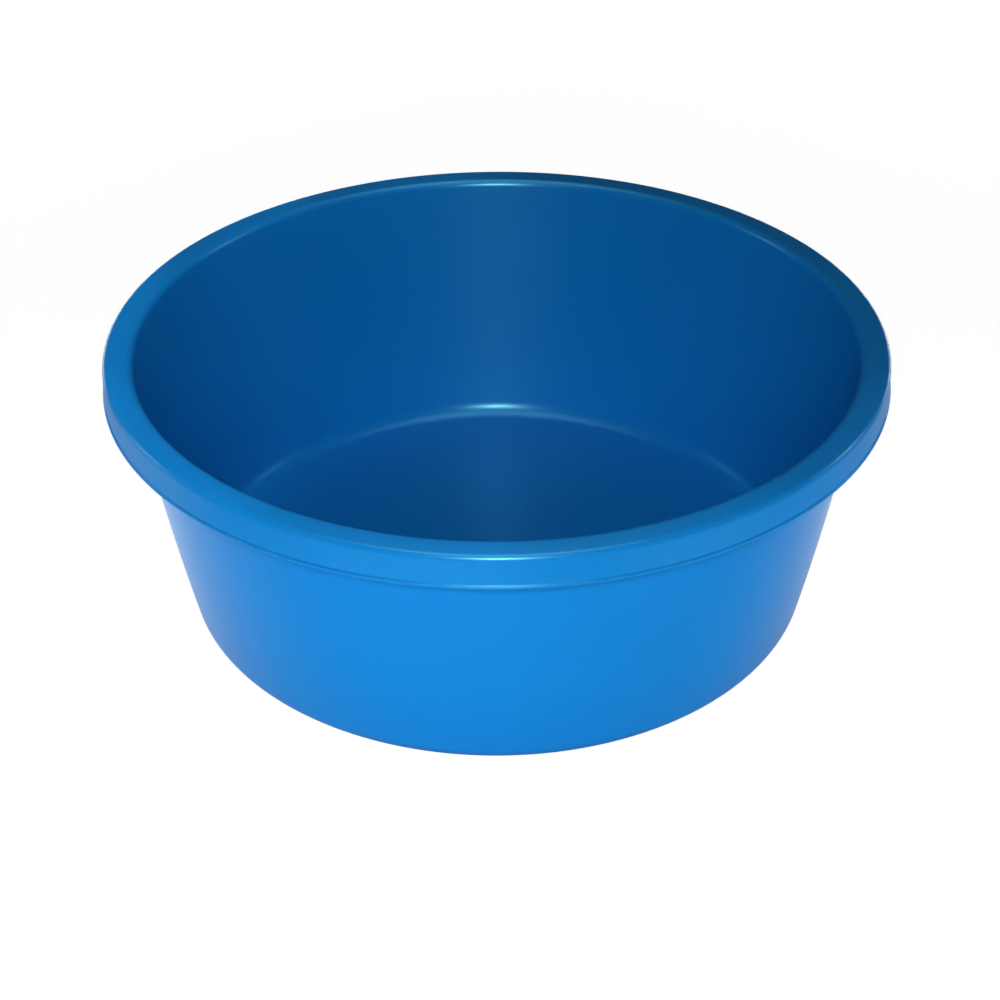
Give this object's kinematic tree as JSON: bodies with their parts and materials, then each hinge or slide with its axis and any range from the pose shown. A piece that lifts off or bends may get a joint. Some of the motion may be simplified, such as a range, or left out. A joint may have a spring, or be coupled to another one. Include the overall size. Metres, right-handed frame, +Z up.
{
  "type": "plastic basin",
  "caption": "Round moulded plastic basin: tapering, slightly swelling wall, flat floor with a rounded corner, flat rim with a turned-down skirt and webs under it, and a foot ring.",
  "frame": {"origin": "the middle of the foot ring's lower face, on the surface that the basin stands on", "axes": "+Z up along the axis about which the basin is turned, +X and +Y across it, each midway between two webs under the rim"},
  "size_m": [0.38, 0.38, 0.14],
  "materials": {
    "blue_polypropylene": "semi-gloss, as moulded"
  },
  "bodies": {
    "root": {"basin_shell": "blue_polypropylene"}
  },
  "joints": []
}
